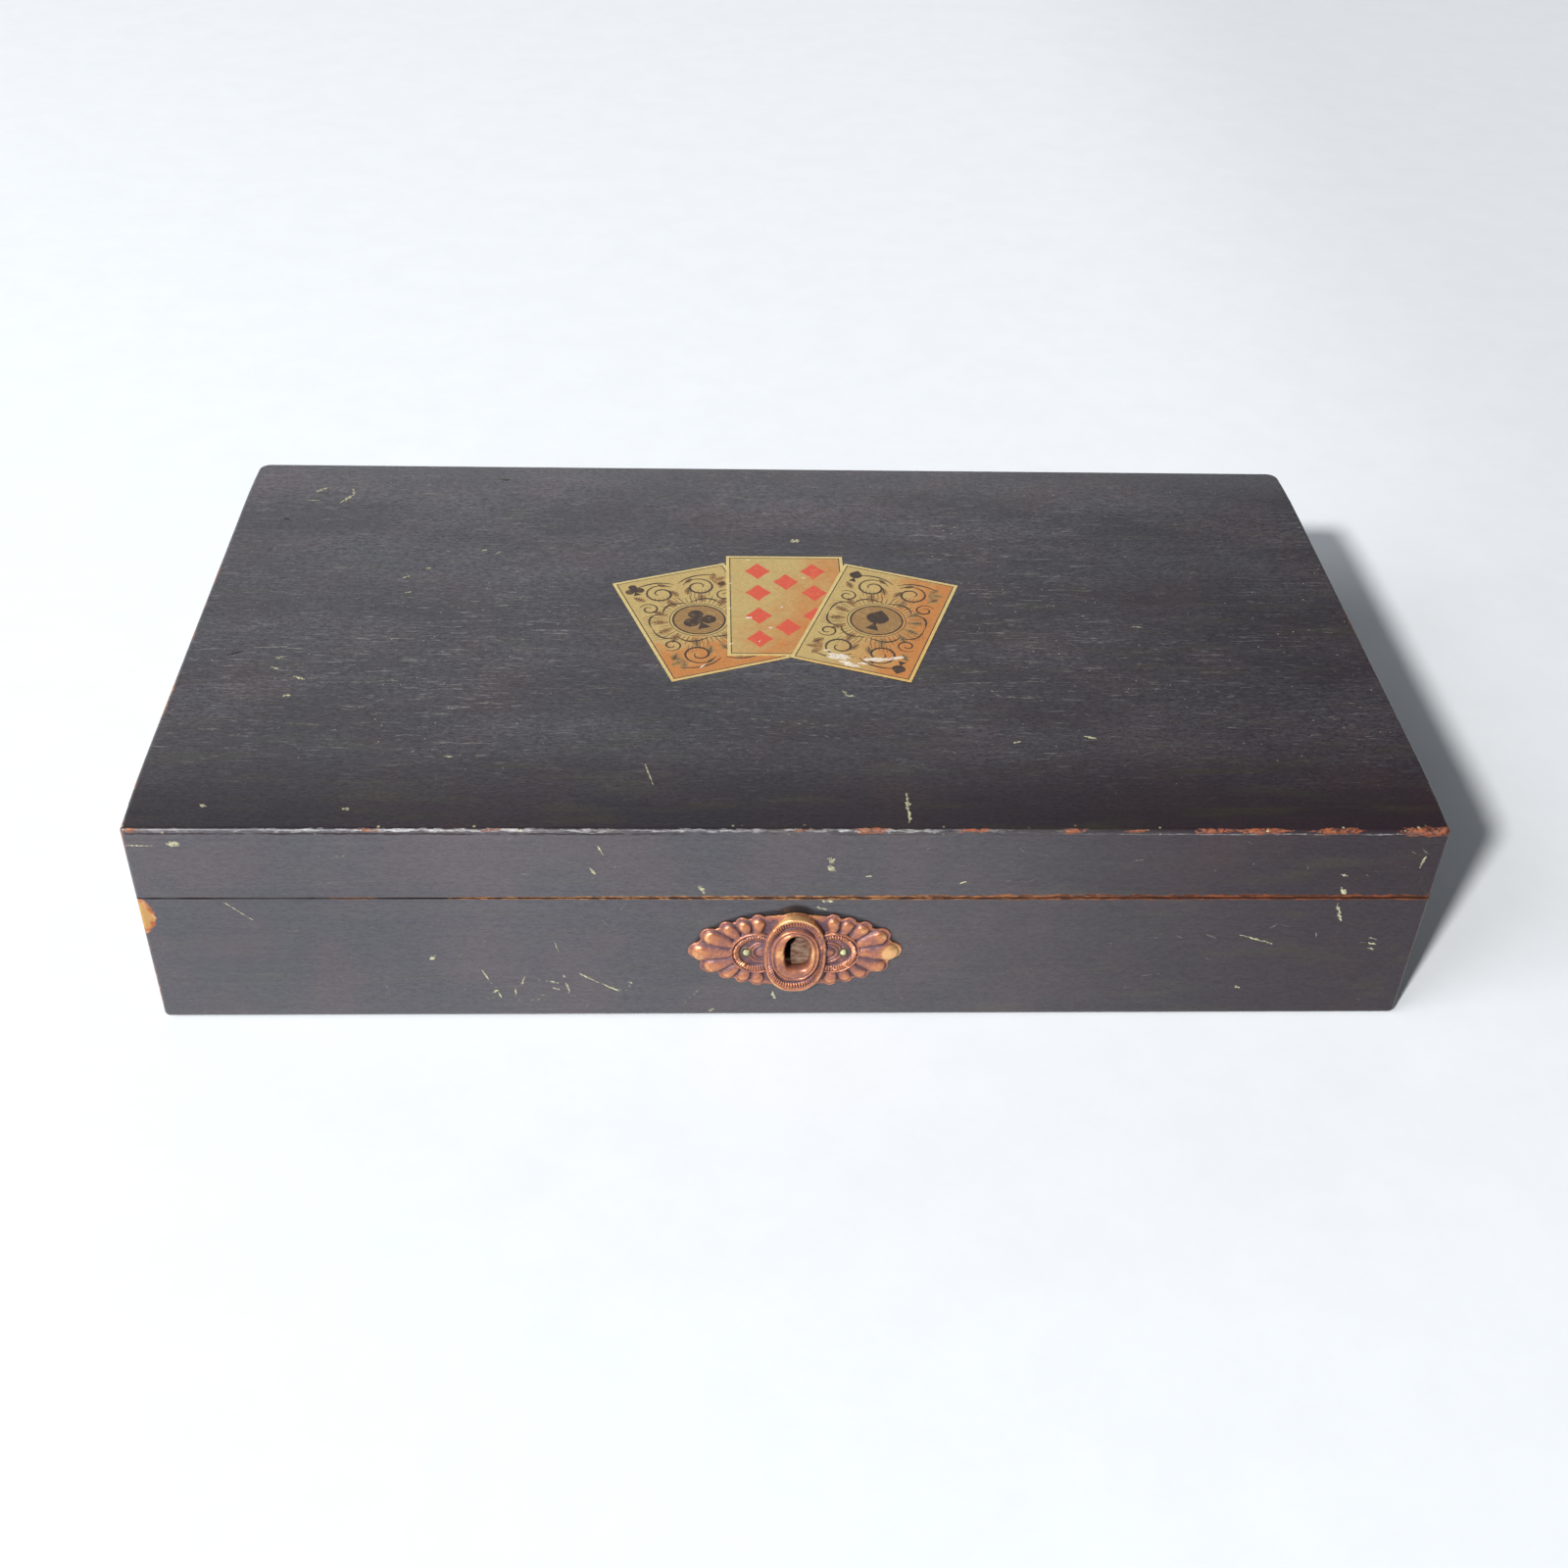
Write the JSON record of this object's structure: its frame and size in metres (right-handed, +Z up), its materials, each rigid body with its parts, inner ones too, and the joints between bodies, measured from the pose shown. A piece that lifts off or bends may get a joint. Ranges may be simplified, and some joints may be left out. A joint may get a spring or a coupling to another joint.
{
  "type": "card game box",
  "caption": "Low black wooden games box with a hinged crowned lid, printed card fan, stamped copper keyhole plate, box lock and divided wells for cards and tokens.",
  "frame": {"origin": "middle of the underside of the bottom board", "axes": "+X to the right along the length, -Y out of the front with the keyhole, +Z up"},
  "size_m": [0.29, 0.1654, 0.0583],
  "materials": {
    "ebonised_wood": "black-stained, waxed satin with worn edges",
    "divider_wood": "oiled fruitwood",
    "hinge_brass": "tarnished brass",
    "lock_brass": "tarnished brass",
    "lock_steel": "darkened steel",
    "escutcheon_copper": "stamped copper with brown patina",
    "card_print": "varnished transfer print"
  },
  "bodies": {
    "base": {"base_bottom_board": "ebonised_wood", "base_front_board": "ebonised_wood", "base_back_board": "ebonised_wood", "base_left_end": "ebonised_wood", "base_right_end": "ebonised_wood", "divider_long": "divider_wood", "divider_left": "divider_wood", "divider_middle": "divider_wood", "divider_right": "divider_wood", "hinge_left_base_leaf": "hinge_brass", "hinge_right_base_leaf": "hinge_brass", "hinge_left_pin": "hinge_brass", "hinge_right_pin": "hinge_brass", "hinge_base_screws": "lock_steel", "lock_case": "lock_brass", "lock_cover": "lock_brass", "lock_spring": "lock_steel", "lock_key_pin": "lock_steel", "lock_screws": "lock_steel", "escutcheon": "escutcheon_copper", "escutcheon_pins": "escutcheon_copper"},
    "lid": {"lid_top_board": "ebonised_wood", "lid_front_rail": "ebonised_wood", "lid_back_rail": "ebonised_wood", "lid_left_rail": "ebonised_wood", "lid_right_rail": "ebonised_wood", "card_transfer": "card_print", "lock_strike": "lock_brass", "strike_screws": "lock_steel", "hinge_left_lid_leaf": "hinge_brass", "hinge_right_lid_leaf": "hinge_brass", "hinge_lid_screws": "lock_steel"},
    "bolt": {"lock_bolt": "lock_brass"}
  },
  "joints": [
    {"name": "lid_hinge", "type": "hinge", "parent": "base", "child": "lid", "pos_m": [0, 0.0796, 0.03725], "axis": [-1, 0, 0], "range_deg": [0, 100]},
    {"name": "bolt_slide", "type": "slide", "parent": "base", "child": "bolt", "axis": [1, 0, 0], "range_m": [0, 0.0036]}
  ]
}
